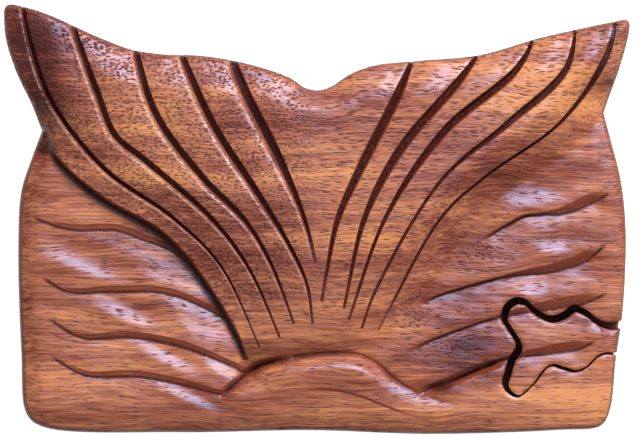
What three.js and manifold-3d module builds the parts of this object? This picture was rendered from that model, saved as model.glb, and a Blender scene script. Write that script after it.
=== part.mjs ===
// Carved puzzle box: a whale's tail over waves, with a jigsaw key and a lid that slides off sideways.
// Millimetres, +Z up, +X along the box to the right, +Y to the rear, origin under the middle.

import * as THREE from 'three';
import { mergeVertices } from 'three/addons/utils/BufferGeometryUtils.js';
import Module from 'manifold-3d';

// Footprint, and the layers from the table up
const boxLength = 150.2;
const boxWidth = 103.6;
const boardThickness = 7;
const ringHeight = 22;
const partingGap = 0.3;
const waterLevel = 15.2;
const tailRise = 4.9;
const stockRise = 2.6;

// Drawing of the box from above, which is stretched to the footprint.
// Outline: four smooth stretches between the fluke tips and the necks under them
const leftTip = [-75.1, 51.8];
const rightTip = [75.1, 48.0];
const leftNeck = [-66.0, 21.0];
const rightNeck = [68.9, 25.3];
const rearEdge = [
  leftTip, [-66.4, 49.6], [-52.0, 43.3], [-44.8, 40.6], [-37.6, 39.4], [-28.0, 39.0],
  [-18.4, 37.5], [-6.4, 33.7], [-3.0, 31.4], [0.3, 30.7], [3.4, 31.6], [8.0, 34.6],
  [14.0, 36.7], [24.8, 37.8], [39.2, 39.2], [53.6, 43.3], rightTip,
];
const rightTipFace = [-0.2, -3.3];
const rightFlukeSide = [
  rightTip, [rightTip[0] + rightTipFace[0], rightTip[1] + rightTipFace[1]], [73.2, 38.0], rightNeck,
];
const bodyEdge = [
  rightNeck, [70.6, 18.8], [73.0, 9.2], [74.2, -2.8], [73.5, -22.0], [71.8, -34.0],
  [70.4, -46.0], [68.2, -49.8], [58.4, -50.8], [27.2, -51.8], [-1.6, -50.9],
  [-32.8, -51.4], [-65.4, -50.2], [-69.6, -47.2], [-71.0, -31.6], [-71.7, -6.0],
  [-71.0, 6.3], [-68.6, 14.0], leftNeck,
];
const leftFlukeSide = [leftNeck, [-68.4, 27.4], [-72.2, 35.6], [-74.6, 43.5], leftTip];

// Edge of the lid's top, rounded over by hand
const edgeDrop = 1.8;
const edgeReach = 6;

// Tail: its edge on each side of the water, and the root in front
const tailLeftEdge = [
  leftNeck, [-62.4, 13.8], [-51.6, 4.4], [-38.6, -3.0], [-32.8, -8.3], [-26.6, -16.5],
  [-20.6, -26.3], [-16.8, -34.5],
];
const tailRightEdge = [
  rightNeck, [61.5, 16.6], [44.9, 5.4], [36.8, -3.0], [26.0, -17.2], [16.4, -30.4],
];
const tailRoot = [[-16.8, -34.5], [-6.0, -33.8], [3.2, -32.6], [16.4, -30.4]];
const leftStep = 2.4;
const leftFlank = 5;
const rightFlank = 8;
const rootFlank = 6;
const stockLength = 36;
const tailSkirt = 0.4;

// Furrows between the tail's rays, each from its outer end to the root
const leftFurrows = [
  [[-71.2, 56.0], [-68.6, 42.6], [-63.3, 27.9], [-50.6, 11.8], [-34.5, 0.3], [-23.2, -11.0], [-13.4, -31.4]],
  [[-59.8, 50.0], [-52.5, 30.3], [-40.8, 13.8], [-25.2, 0.1], [-16.5, -11.4], [-8.6, -29.0]],
  [[-44.6, 45.0], [-38.4, 25.0], [-27.1, 9.7], [-17.0, -0.6], [-11.2, -10.2], [-5.2, -25.8]],
  [[-34.4, 44.0], [-24.7, 22.6], [-13.9, 5.8], [-6.9, -5.7], [-2.4, -15.5], [-0.9, -25.4]],
  [[-21.4, 41.0], [-17.2, 30.8], [-8.4, 13.3], [-2.8, -0.4], [-0.2, -10.7]],
];
const rightFurrows = [
  [[24.4, 41.5], [19.5, 29.4], [10.6, 11.8], [5.1, -0.4], [1.2, -20.1]],
  [[41.2, 42.6], [34.1, 32.7], [20.4, 16.6], [11.6, 0.1], [6.5, -21.8]],
  [[53.8, 46.4], [47.8, 35.4], [31.0, 21.0], [16.8, 0.6], [7.5, -24.9]],
  [[62.6, 49.0], [59.6, 35.4], [45.9, 22.6], [30.0, 9.2], [14.2, -17.2], [10.6, -27.0]],
  [[72.4, 51.5], [69.4, 38.7], [58.6, 23.1], [40.8, 10.2], [30.0, 0.3], [14.4, -27.5]],
];
const furrowWidth = 2.1;
const furrowDepth = 1.7;
const furrowRunOut = 0.55;

// Waves: each gouge has a steep rear wall and a long slope in front
const leftWaves = [
  [[-68.4, 0.3], [-57.1, -3.0], [-48.4, -3.0], [-37.4, -6.9]],
  [[-66.4, -13.8], [-59.7, -17.7], [-48.4, -17.7], [-36.0, -18.2], [-24.0, -23.4]],
  [[-65.0, -23.7], [-56.4, -28.7], [-44.8, -28.7], [-32.6, -30.9], [-17.0, -37.1]],
  [[-64.3, -32.8], [-55.4, -37.8], [-43.2, -38.1], [-32.6, -40.0], [-23.7, -42.2]],
];
const rightWaves = [
  [[70.6, 6.3], [58.6, 0.8], [50.0, 0.3], [41.1, -3.8]],
  [[69.9, -5.7], [58.6, -12.6], [44.0, -14.6], [27.2, -19.6]],
  [[44.0, -23.9], [36.3, -26.3], [26.0, -30.2], [19.7, -33.5]],
  [[44.0, -34.2], [34.8, -38.1], [26.9, -41.2]],
];
const waveGougeWidth = 2;
const waveGougeDepth = 1.2;
const waveGougeFullness = 0.6;
const waveSlopeDepth = 1.9;
const waveSlopeReach = 7;
const waveBackReach = 1.2;

// Swell that breaks over the tail's root, and the two hollows beside it
const swellCentre = [3.2, -37.2];
const swellHalfLength = 14;
const swellHalfWidth = 3.6;
const swellHeight = 2.2;
const leftHollowCentre = [-14.6, -36.6];
const rightHollowCentre = [20.4, -39.4];
const hollowRadius = 4.2;
const hollowDepth = 2.4;

// Cavity sawn in the ring, measured in from the outline
const leftWall = 13;
const rightWall = 34;
const frontWall = 11.3;
const rearWall = 14;
const cavityCorner = 8;

// Dovetail rails that the lid runs on
const railFootWidth = 3.4;
const railTopWidth = 5;
const railHeight = 4;
const railClearance = 0.3;
const railFromCavity = 5;
const railLeftSetback = 9.7;
const railPinDiameter = 1.8;
const railPinDepth = 6;
const railPinSetback = 9;
const railPinGap = 0.05;
const pinsPerRail = 3;

// Felt lining
const feltThickness = 1;
const feltBelowRim = 1.5;

// Key: the saw enters at the right edge, goes round the key and leaves again beside it
const sawEntry = -24.6;
const sawExit = -33;
const sawEdge = [
  [69.9, -24.9], [67.2, -23.9], [64.8, -22.0], [61.6, -20.8], [58.8, -22.5], [56.2, -23.3],
  [52.8, -21.8], [50.2, -19.4], [47.6, -18.9], [44.9, -20.8], [44.2, -24.0], [45.9, -27.0],
  [47.7, -30.4], [46.1, -33.3], [45.2, -36.4], [44.4, -39.3], [45.4, -41.6], [48.2, -43.0],
  [51.9, -40.2], [56.0, -35.6], [58.6, -36.2], [61.8, -37.0], [64.8, -35.9], [68.4, -32.9],
];
const sawKerf = 1.1;
const keyRest = [0.5, -0.5];

// Fineness of the faceted surfaces
const carvingCell = 4.2;
const stretchSteps = 3;
const sawSteps = 2;
const furrowSteps = 12;
const cornerSteps = 6;
const pinSides = 10;
const weldDistance = 0.0005;

// How far a cutter reaches past what it cuts, how high its back stands over the wood,
// and at its ends how narrow it gets and how far it lifts out, as shares of width and depth
const overcut = 3;
const cutterRise = 1.4;
const cutterEndWidth = 0.3;
const cutterLift = 0.15;

const suar = { color: 0x9a5a32, roughness: 0.42, metalness: 0 };
const suarPale = { color: 0xb0703f, roughness: 0.5, metalness: 0 };
const railWood = { color: 0x6f3f24, roughness: 0.55, metalness: 0 };
const bamboo = { color: 0xd2b27a, roughness: 0.6, metalness: 0 };
const felt = { color: 0x3a2b28, roughness: 0.95, metalness: 0 };

const wasm = await Module();
wasm.setup();

// Closed solid of a geometry, with its shared vertices merged
function toSolid(geometry) {
  const bare = new THREE.BufferGeometry();
  bare.setAttribute('position', geometry.getAttribute('position').clone());
  if (geometry.index) {
    bare.setIndex(geometry.index.clone());
  }
  const merged = mergeVertices(bare, weldDistance);
  return new wasm.Manifold(new wasm.Mesh({
    numProp: 3,
    vertProperties: new Float32Array(merged.attributes.position.array),
    triVerts: new Uint32Array(merged.index.array),
  }));
}

function toGeometry(solid) {
  const mesh = solid.getMesh();
  const geometry = new THREE.BufferGeometry();
  geometry.setAttribute('position', new THREE.BufferAttribute(mesh.vertProperties, mesh.numProp));
  geometry.setIndex(new THREE.BufferAttribute(mesh.triVerts, 1));
  geometry.computeVertexNormals();
  return geometry;
}

// Smooth curve through points of the drawing, as a list of Vector2
function drawnCurve(points, stepsPerPoint, closed = false) {
  const knots = points.map(([x, y]) => new THREE.Vector3(x, y, 0));
  const curve = new THREE.CatmullRomCurve3(knots, closed, 'centripetal');
  const steps = stepsPerPoint * (closed ? points.length : points.length - 1);
  const path = curve.getPoints(steps).map((p) => new THREE.Vector2(p.x, p.y));
  return closed ? path.slice(0, -1) : path;
}

const outlineStretches = [rearEdge, rightFlukeSide, bodyEdge, leftFlukeSide];
const drawing = new THREE.Box2().setFromPoints(
  outlineStretches.flatMap((stretch) => drawnCurve(stretch, stretchSteps)),
);
const drawingCentre = drawing.getCenter(new THREE.Vector2());
const stretch = new THREE.Vector2(boxLength, boxWidth).divide(drawing.getSize(new THREE.Vector2()));

// A place on the drawing, moved to where it is on the box
function onBox(x, y) {
  return new THREE.Vector2(x, y).sub(drawingCentre).multiply(stretch);
}

function smoothPath(points, stepsPerPoint, closed = false) {
  return drawnCurve(points, stepsPerPoint, closed).map((p) => onBox(p.x, p.y));
}

// Rises from 0 to 1 without a corner while t goes from 0 to 1
function ease(t) {
  return THREE.MathUtils.smoothstep(t, 0, 1);
}

// Bell curve, 1 at 0
function bell(t) {
  return Math.exp(-t * t);
}

// Nearest place on an open path: distance, share of the way along, and which side (positive is rear)
function nearestOn(path, x, y) {
  let best = { distance: Infinity, along: 0, side: 1 };
  for (let i = 0; i + 1 < path.length; i += 1) {
    const dx = path[i + 1].x - path[i].x;
    const dy = path[i + 1].y - path[i].y;
    const reach = ((x - path[i].x) * dx + (y - path[i].y) * dy) / (dx * dx + dy * dy);
    const t = THREE.MathUtils.clamp(reach, 0, 1);
    const distance = Math.hypot(x - path[i].x - t * dx, y - path[i].y - t * dy);
    if (distance < best.distance) {
      const cross = dx * (y - path[i].y) - dy * (x - path[i].x);
      best = { distance, along: (i + t) / (path.length - 1), side: Math.sign(cross * dx) || 1 };
    }
  }
  return best;
}

// Whether a point is inside a closed path, by counting the edges that a ray crosses
function isInside(path, x, y) {
  let inside = false;
  path.forEach((a, i) => {
    const b = path[(i + 1) % path.length];
    const crosses = (a.y > y) !== (b.y > y);
    if (crosses && x < a.x + ((y - a.y) / (b.y - a.y)) * (b.x - a.x)) {
      inside = !inside;
    }
  });
  return inside;
}

const outline = outlineStretches.flatMap((edge) => smoothPath(edge, stretchSteps).slice(0, -1));
const closedOutline = [...outline, outline[0]];
const bodyPath = smoothPath(bodyEdge, stretchSteps);
const bodyLeft = Math.min(...bodyPath.map((p) => p.x));
const bodyRight = Math.max(...bodyPath.map((p) => p.x));
const bodyFront = Math.min(...bodyPath.map((p) => p.y));
const flukeDip = Math.min(...smoothPath(rearEdge, stretchSteps).map((p) => p.y));
const outlineBox = new THREE.Box2().setFromPoints(outline);

const ringTop = boardThickness + ringHeight;
const lidUnderside = ringTop + partingGap;
const lidTop = lidUnderside + waterLevel + tailRise + swellHeight;

const cavity = new THREE.Box2(
  new THREE.Vector2(bodyLeft + leftWall, bodyFront + frontWall),
  new THREE.Vector2(bodyRight - rightWall, flukeDip - rearWall),
);
const railLeft = bodyLeft + railLeftSetback;
const railRight = cavity.max.x;
const railRows = { front: cavity.min.y - railFromCavity, rear: cavity.max.y + railFromCavity };
const pinFoot = ringTop - railPinDepth;
const pinTop = ringTop + railHeight;

const tailLeftPath = smoothPath(tailLeftEdge, stretchSteps);
const tailRightPath = smoothPath(tailRightEdge, stretchSteps);
const tailRootPath = smoothPath(tailRoot, stretchSteps);
const tailArea = [
  ...tailLeftPath,
  ...tailRootPath,
  ...[...tailRightPath].reverse(),
  new THREE.Vector2(outlineBox.max.x + overcut, onBox(...rightNeck).y),
  new THREE.Vector2(outlineBox.max.x + overcut, outlineBox.max.y + overcut),
  new THREE.Vector2(outlineBox.min.x - overcut, outlineBox.max.y + overcut),
  new THREE.Vector2(outlineBox.min.x - overcut, onBox(...leftNeck).y),
];
const furrowPaths = [...leftFurrows, ...rightFurrows].map((f) => smoothPath(f, stretchSteps));
const wavePaths = [...leftWaves, ...rightWaves].map((w) => smoothPath(w, stretchSteps));
const swellMiddle = onBox(...swellCentre);
const hollowMiddles = [onBox(...leftHollowCentre), onBox(...rightHollowCentre)];

// Height of the tail over the water: its stock climbs out of the sea and the flukes spread.
// It stands over the water at a step on its left, and runs down into it elsewhere.
function tailHeight(x, y) {
  if (!isInside(tailArea, x, y)) {
    return -tailSkirt;
  }
  const climb = ease((y - swellMiddle.y) / stockLength);
  const rise = THREE.MathUtils.lerp(stockRise, tailRise, climb);
  const left = ease(nearestOn(tailLeftPath, x, y).distance / leftFlank);
  const right = ease(nearestOn(tailRightPath, x, y).distance / rightFlank);
  const front = ease(nearestOn(tailRootPath, x, y).distance / rootFlank);
  const crown = THREE.MathUtils.lerp(leftStep, rise, left);
  return THREE.MathUtils.lerp(-tailSkirt, crown, Math.min(right, front));
}

// Depth of the waves: each falls short behind its gouge and long in front of it
function waveDepth(x, y) {
  const depths = wavePaths.map((path) => {
    const near = nearestOn(path, x, y);
    const reach = near.side > 0 ? waveBackReach : waveSlopeReach;
    return waveSlopeDepth * Math.sin(Math.PI * near.along) * bell(near.distance / reach);
  });
  return Math.max(...depths);
}

function swellAt(x, y) {
  const across = (x - swellMiddle.x) / swellHalfLength;
  const along = (y - swellMiddle.y) / swellHalfWidth;
  return swellHeight * bell(Math.hypot(across, along));
}

function hollowsAt(x, y) {
  const shares = hollowMiddles.map((at) => bell(Math.hypot(x - at.x, y - at.y) / hollowRadius));
  return hollowDepth * Math.max(...shares);
}

// How far the hand-rounded edge falls, most at the outline
function edgeFall(x, y) {
  const inward = isInside(outline, x, y) ? nearestOn(closedOutline, x, y).distance : 0;
  return edgeDrop * (1 - ease(inward / edgeReach));
}

// Height of the carved sea over the table
function waterHeight(x, y) {
  const waves = swellAt(x, y) - hollowsAt(x, y) - waveDepth(x, y);
  return lidUnderside + waterLevel + waves - edgeFall(x, y);
}

// Height of the tail's back over the table
function tailTopHeight(x, y) {
  return lidUnderside + waterLevel + tailHeight(x, y) - edgeFall(x, y);
}

function carvedHeight(x, y) {
  return Math.max(waterHeight(x, y), tailTopHeight(x, y));
}

// Upright prism over a closed path
function prism(path, bottom, top) {
  const geometry = new THREE.ExtrudeGeometry(new THREE.Shape(path), {
    depth: top - bottom,
    bevelEnabled: false,
  });
  return geometry.translate(0, 0, bottom);
}

// Block whose top face follows a height, cut out along a path
function reliefSolid(height, path) {
  const size = outlineBox.getSize(new THREE.Vector2()).addScalar(2 * overcut);
  const centre = outlineBox.getCenter(new THREE.Vector2());
  const cells = [Math.ceil(size.x / carvingCell), Math.ceil(size.y / carvingCell)];
  const block = new THREE.BoxGeometry(size.x, size.y, 1, cells[0], cells[1], 1);
  const position = block.getAttribute('position');
  for (let i = 0; i < position.count; i += 1) {
    const x = position.getX(i) + centre.x;
    const y = position.getY(i) + centre.y;
    const z = position.getZ(i) > 0 ? height(x, y) : lidUnderside;
    position.setXYZ(i, x, y, z);
  }
  const blank = prism(path, lidUnderside - overcut, lidTop + overcut);
  return toSolid(block).intersect(toSolid(blank));
}

// Three-sided gouge cut along a path: a prism of three sides bent over the carving,
// deepest where share(t) is 1 and out of the wood where it is below 0
function gouge(path, width, depth, share) {
  const route = new THREE.CatmullRomCurve3(path.map((p) => new THREE.Vector3(p.x, p.y, 0)));
  const blade = new THREE.CylinderGeometry(1, 1, 1, 3, furrowSteps).translate(0, -1 / 2, 0);
  const position = blade.getAttribute('position');
  const bladeHalfWidth = Math.sin(Math.PI / 3);
  const bladeBack = Math.cos(Math.PI / 3);
  for (let i = 0; i < position.count; i += 1) {
    const t = -position.getY(i);
    const at = route.getPoint(t);
    const along = route.getTangent(t);
    const bite = (1 + cutterLift) * share(t) - cutterLift;
    const halfWidth = (width / 2) * THREE.MathUtils.lerp(cutterEndWidth, 1, bite) * (1 + cutterRise / depth);
    const across = (position.getX(i) / bladeHalfWidth) * halfWidth;
    const down = (position.getZ(i) + bladeBack) / (1 + bladeBack);
    const x = at.x + along.y * across;
    const y = at.y - along.x * across;
    const keel = carvedHeight(at.x, at.y) - depth * bite;
    const back = carvedHeight(at.x, at.y) + cutterRise;
    position.setXYZ(i, x, y, THREE.MathUtils.lerp(back, keel, down));
  }
  return toSolid(blade);
}

// A furrow keeps its depth from the rim and runs out at the root
function furrowShare(t) {
  return 1 - ease((t - furrowRunOut) / (1 - furrowRunOut));
}

// A wave's gouge runs out at both ends
function waveShare(t) {
  return Math.sin(Math.PI * t) ** waveGougeFullness;
}

// The saw's path round the key, moved in by a distance and shifted
function sawPath(inset, shift) {
  const outside = drawing.max.x + overcut;
  const path = smoothPath([[outside, sawEntry], ...sawEdge, [outside, sawExit]], sawSteps, true);
  return path.map((p, i) => {
    const before = path[(i + path.length - 1) % path.length];
    const after = path[(i + 1) % path.length];
    const inward = new THREE.Vector2(before.y - after.y, after.x - before.x).normalize();
    return new THREE.Vector2(p.x + inward.x * inset + shift[0], p.y + inward.y * inset + shift[1]);
  });
}

// Dovetail section, wider at its top, run from one x to another; grow is the room left all round
function dovetail(rowY, fromX, toX, grow) {
  const foot = railFootWidth / 2 + grow;
  const head = railTopWidth / 2 + grow;
  const section = new THREE.Shape([
    new THREE.Vector2(-foot, 0),
    new THREE.Vector2(foot, 0),
    new THREE.Vector2(head, railHeight + grow),
    new THREE.Vector2(-head, railHeight + grow),
  ]);
  const bar = new THREE.ExtrudeGeometry(section, { depth: toX - fromX, bevelEnabled: false });
  bar.rotateX(Math.PI / 2).rotateZ(Math.PI / 2);
  return bar.translate(fromX, rowY, ringTop);
}

function pinHole(x, y, radius, top) {
  const hole = new THREE.CylinderGeometry(radius, radius, top - pinFoot, pinSides);
  return hole.rotateX(Math.PI / 2).translate(x, y, (top + pinFoot) / 2);
}

function railPinPlaces(rowY) {
  const first = railLeft + railPinSetback;
  const pitch = (railRight - railPinSetback - first) / (pinsPerRail - 1);
  return Array.from({ length: pinsPerRail }, (_, i) => [first + i * pitch, rowY]);
}

function roundedBox(box, inset, corner) {
  const low = box.min.clone().addScalar(inset);
  const high = box.max.clone().subScalar(inset);
  const radius = corner - inset;
  const shape = new THREE.Shape();
  shape.absarc(high.x - radius, low.y + radius, radius, -Math.PI / 2, 0);
  shape.absarc(high.x - radius, high.y - radius, radius, 0, Math.PI / 2);
  shape.absarc(low.x + radius, high.y - radius, radius, Math.PI / 2, Math.PI);
  shape.absarc(low.x + radius, low.y + radius, radius, Math.PI, 1.5 * Math.PI);
  return shape.getPoints(cornerSteps);
}

function bottomBoard() {
  return toSolid(prism(outline, 0, boardThickness));
}

function bodyRing() {
  let ring = toSolid(prism(outline, boardThickness, ringTop));
  const bore = prism(roundedBox(cavity, 0, cavityCorner), boardThickness - overcut, ringTop + overcut);
  ring = ring.subtract(toSolid(bore));
  Object.values(railRows).flatMap(railPinPlaces).forEach(([x, y]) => {
    const hole = pinHole(x, y, railPinDiameter / 2 + railPinGap, ringTop + overcut);
    ring = ring.subtract(toSolid(hole));
  });
  return ring;
}

function rail(rowY) {
  let bar = toSolid(dovetail(rowY, railLeft, railRight, 0));
  railPinPlaces(rowY).forEach(([x, y]) => {
    bar = bar.subtract(toSolid(pinHole(x, y, railPinDiameter / 2 + railPinGap, pinTop + overcut)));
  });
  return bar;
}

function wallFelt() {
  const foot = boardThickness;
  const rim = ringTop - feltBelowRim;
  const outside = toSolid(prism(roundedBox(cavity, 0, cavityCorner), foot, rim));
  const inside = prism(roundedBox(cavity, feltThickness, cavityCorner), foot - overcut, rim + overcut);
  return outside.subtract(toSolid(inside));
}

function floorFelt() {
  const bed = roundedBox(cavity, feltThickness, cavityCorner);
  return toSolid(prism(bed, boardThickness, boardThickness + feltThickness));
}

// The carved layer before the key is sawn out of it: relief, furrows and gouges
function carvedLayer() {
  const sea = reliefSolid(waterHeight, outline);
  const tail = reliefSolid(tailTopHeight, tailArea);
  const blank = toSolid(prism(outline, lidUnderside - overcut, lidTop + overcut));
  let layer = sea.add(tail.intersect(blank));
  furrowPaths.forEach((path) => {
    layer = layer.subtract(gouge(path, furrowWidth, furrowDepth, furrowShare));
  });
  wavePaths.forEach((path) => {
    layer = layer.subtract(gouge(path, waveGougeWidth, waveGougeDepth, waveShare));
  });
  return layer;
}

function lid(layer) {
  const notch = prism(sawPath(0, [0, 0]), lidUnderside - overcut, lidTop + overcut);
  let body = layer.subtract(toSolid(notch));
  Object.values(railRows).forEach((rowY) => {
    const slot = dovetail(rowY, outlineBox.min.x - overcut, railRight + railClearance, railClearance);
    body = body.subtract(toSolid(slot));
  });
  return body;
}

function puzzleKey(layer) {
  const blank = prism(sawPath(sawKerf, keyRest), lidUnderside - overcut, lidTop + overcut);
  return layer.intersect(toSolid(blank));
}

function place(group, name, solid, look) {
  const mesh = new THREE.Mesh(toGeometry(solid), new THREE.MeshStandardMaterial(look));
  mesh.name = name;
  group.add(mesh);
}

const box = new THREE.Group();
const layer = carvedLayer();
place(box, 'bottom_board', bottomBoard(), suarPale);
place(box, 'body_ring', bodyRing(), suar);
Object.entries(railRows).forEach(([row, rowY]) => {
  place(box, `${row}_rail`, rail(rowY), railWood);
  railPinPlaces(rowY).forEach(([x, y], i) => {
    const pin = toSolid(pinHole(x, y, railPinDiameter / 2, pinTop));
    place(box, `${row}_rail_pin_${i + 1}`, pin, bamboo);
  });
});
place(box, 'wall_felt', wallFelt(), felt);
place(box, 'floor_felt', floorFelt(), felt);
place(box, 'lid', lid(layer), suar);
place(box, 'puzzle_key', puzzleKey(layer), suar);

export default box;
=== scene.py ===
# %% [markdown]
# # A carved puzzle box
# The box lies flat and is seen from straight above: a whale's tail rises out of carved waves, and a
# jigsaw-shaped key sits in the lid's right edge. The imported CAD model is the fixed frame. It gives
# every piece its place and its motion, and this script gives the carved and polished surfaces.

# %% Load the frame
import math

import bpy
import numpy as np
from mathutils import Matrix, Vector
from mathutils.geometry import delaunay_2d_cdt


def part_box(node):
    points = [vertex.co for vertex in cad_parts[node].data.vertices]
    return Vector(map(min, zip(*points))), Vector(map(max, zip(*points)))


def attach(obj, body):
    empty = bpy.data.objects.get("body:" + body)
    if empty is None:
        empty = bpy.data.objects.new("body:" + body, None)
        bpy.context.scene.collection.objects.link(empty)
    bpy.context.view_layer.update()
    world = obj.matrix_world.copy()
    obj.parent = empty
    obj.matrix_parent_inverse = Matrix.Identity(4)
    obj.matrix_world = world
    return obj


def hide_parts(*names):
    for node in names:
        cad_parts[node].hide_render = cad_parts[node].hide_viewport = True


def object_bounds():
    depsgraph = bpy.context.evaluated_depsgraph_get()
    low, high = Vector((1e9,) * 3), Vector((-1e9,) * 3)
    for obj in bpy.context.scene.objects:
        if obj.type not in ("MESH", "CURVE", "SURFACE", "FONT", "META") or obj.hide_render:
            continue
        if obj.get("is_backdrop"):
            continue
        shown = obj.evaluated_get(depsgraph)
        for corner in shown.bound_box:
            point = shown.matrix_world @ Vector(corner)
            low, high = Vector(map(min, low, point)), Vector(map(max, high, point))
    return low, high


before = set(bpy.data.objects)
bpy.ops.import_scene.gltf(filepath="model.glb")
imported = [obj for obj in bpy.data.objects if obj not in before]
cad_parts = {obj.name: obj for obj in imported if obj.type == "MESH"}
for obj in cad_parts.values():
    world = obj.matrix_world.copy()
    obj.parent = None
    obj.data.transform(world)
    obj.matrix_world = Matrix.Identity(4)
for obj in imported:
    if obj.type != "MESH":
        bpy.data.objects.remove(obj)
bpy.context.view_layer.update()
MM = 0.001
print("nodes:", sorted(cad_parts))

# %% [markdown]
# ## Sizes
# The drawing below is in millimetres, seen from above, with +x along the box towards the key and +y
# towards the tips of the flukes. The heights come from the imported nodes, so each surface lies where
# the solid that it stands for lies.

# %% Heights from the frame
def node_box(name):
    """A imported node's lowest and highest corners in millimetres."""
    return [np.array(corner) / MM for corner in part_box(name)]


LID_UNDERSIDE, LID_TOP = (corner[2] for corner in node_box("lid"))
RING_TOP, BOARD_TOP = (node_box(name)[1][2] for name in ("body_ring", "bottom_board"))
WATER_LEVEL = LID_UNDERSIDE + 15.2
TAIL_RISE = 4.8
STOCK_RISE = 1.0
print("lid from", LID_UNDERSIDE, "to", LID_TOP, "mm")

# %% The drawing of the box
LEFT_TIP, RIGHT_TIP = (-75.1, 51.8), (75.1, 48)
LEFT_NECK, RIGHT_NECK = (-66, 21), (68.9, 25.3)
REAR_EDGE = [
    LEFT_TIP, (-66.4, 49.6), (-52, 43.3), (-44.8, 40.6), (-37.6, 39.4), (-28, 39),
    (-18.4, 37.5), (-6.4, 33.7), (-3, 31.4), (0.3, 30.7), (3.4, 31.6), (8, 34.6),
    (14, 36.7), (24.8, 37.8), (39.2, 39.2), (53.6, 43.3), RIGHT_TIP,
]
RIGHT_FLUKE_SIDE = [RIGHT_TIP, (74.9, 44.7), (73.2, 38), RIGHT_NECK]
BODY_EDGE = [
    RIGHT_NECK, (70.6, 18.8), (73, 9.2), (74.2, -2.8), (73.5, -22), (71.8, -34),
    (70.4, -46), (68.2, -49.8), (58.4, -50.8), (27.2, -51.8), (-1.6, -50.9),
    (-32.8, -51.4), (-65.4, -50.2), (-69.6, -47.2), (-71, -31.6), (-71.7, -6),
    (-71, 6.3), (-68.6, 14), LEFT_NECK,
]
LEFT_FLUKE_SIDE = [LEFT_NECK, (-68.4, 27.4), (-72.2, 35.6), (-74.6, 43.5), LEFT_TIP]

TAIL_LEFT_EDGE = [
    LEFT_NECK, (-62.4, 13.8), (-51.6, 4.4), (-38.6, -3), (-32.8, -8.3), (-26.6, -16.5),
    (-20.6, -26.3), (-16.8, -34.5),
]
TAIL_RIGHT_EDGE = [
    RIGHT_NECK, (61.5, 16.6), (44.9, 5.4), (36.8, -3), (26, -17.2), (16.4, -30.4),
]
TAIL_ROOT = [(-16.8, -34.5), (-6, -33.8), (3.2, -32.6), (16.4, -30.4)]

# Furrows between the tail's rays: points from the rim to the root, widest width, depth, and the
# share of the way at which they start to narrow
LEFT_FURROWS = [
    ([(-71.2, 56), (-68.6, 42.6), (-63.3, 27.9), (-50.6, 11.8), (-34.5, 0.3), (-23.2, -11),
      (-13.4, -31.4)], 1.6, 1.3, 0.4),
    ([(-59.8, 50), (-52.5, 30.3), (-48.2, 20), (-40.8, 13.8), (-25.2, 0.1), (-16.5, -11.4),
      (-8.6, -29)], 2.1, 1.5, 0.4),
    ([(-44.6, 45), (-38.4, 25), (-27.1, 9.7), (-17, -0.6), (-11.2, -10.2), (-5.2, -25.8)], 2.3, 1.6, 0.4),
    ([(-34.4, 44), (-24.7, 22.6), (-13.9, 5.8), (-6.9, -5.7), (-2.4, -15.5), (-0.9, -25.4)], 2.4, 1.7, 0.4),
    ([(-21.4, 41), (-17.2, 30.8), (-8.4, 13.3), (-2.8, -0.4), (-0.2, -10.7)], 3, 1.9, 0.4),
]
RIGHT_FURROWS = [
    ([(24.4, 41.5), (19.5, 29.4), (10.6, 11.8), (5.1, -0.4), (2.7, -11.4), (1.2, -20.1)], 3, 1.8, 0.4),
    ([(41.2, 42.6), (34.1, 32.7), (20.4, 16.6), (11.6, 0.1), (6.5, -21.8)], 2.9, 1.7, 0.4),
    ([(53.8, 46.4), (47.8, 35.4), (31, 21), (16.8, 0.6), (7.5, -24.9)], 2.7, 1.6, 0.34),
    ([(62.6, 49), (59.6, 35.4), (45.9, 22.6), (30, 9.2), (14.2, -17.2), (10.6, -27)], 2.5, 1.5, 0.22),
    ([(72.4, 51.5), (69.4, 38.7), (58.6, 23.1), (40.8, 10.2), (30, 0.3), (14.4, -27.5)], 2.2, 1.4, 0.1),
]

# Waves: points from the outer end inwards, depth of the step, and length of the slope in front
WAVES = [
    ([(-68.4, 0.3), (-62, -2.1), (-57.1, -3), (-48.4, -3), (-42, -5.2), (-36.4, -7.2),
      (-30, -11)], 0.35, 5),
    ([(-66.4, -13.8), (-59.7, -17.7), (-48.4, -17.7), (-36, -18.2), (-23.6, -23.4), (-17, -28)], 0.5, 5),
    ([(-65, -23.7), (-56.4, -28.7), (-44.8, -28.7), (-32.6, -30.9), (-17, -37.1), (-11, -40)], 0.6, 5),
    ([(-64.3, -32.8), (-55.4, -37.8), (-43.2, -38.1), (-32.6, -40), (-22.7, -42.4), (-17, -43.5)], 0.5, 4),
    ([(70.6, 6.3), (65, 3), (58.6, 0.8), (50, 0.3), (45.6, -2), (38, -6.4)], 0.9, 3.5),
    ([(69.9, -5.7), (64.4, -10.5), (58.6, -12.6), (44, -14.6), (27.2, -19.6), (22, -22)], 1, 3.5),
    ([(70.4, -17.7), (63.6, -20.6), (54.8, -22), (44, -23.9), (36.3, -26.3), (26, -30.2),
      (19.7, -33.5)], 0.7, 3.5),
    ([(67.2, -29.2), (62.4, -31.6), (56.2, -32.6), (44, -34.2), (34.8, -38.1), (26.9, -41.2)], 0.8, 3.5),
]
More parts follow.
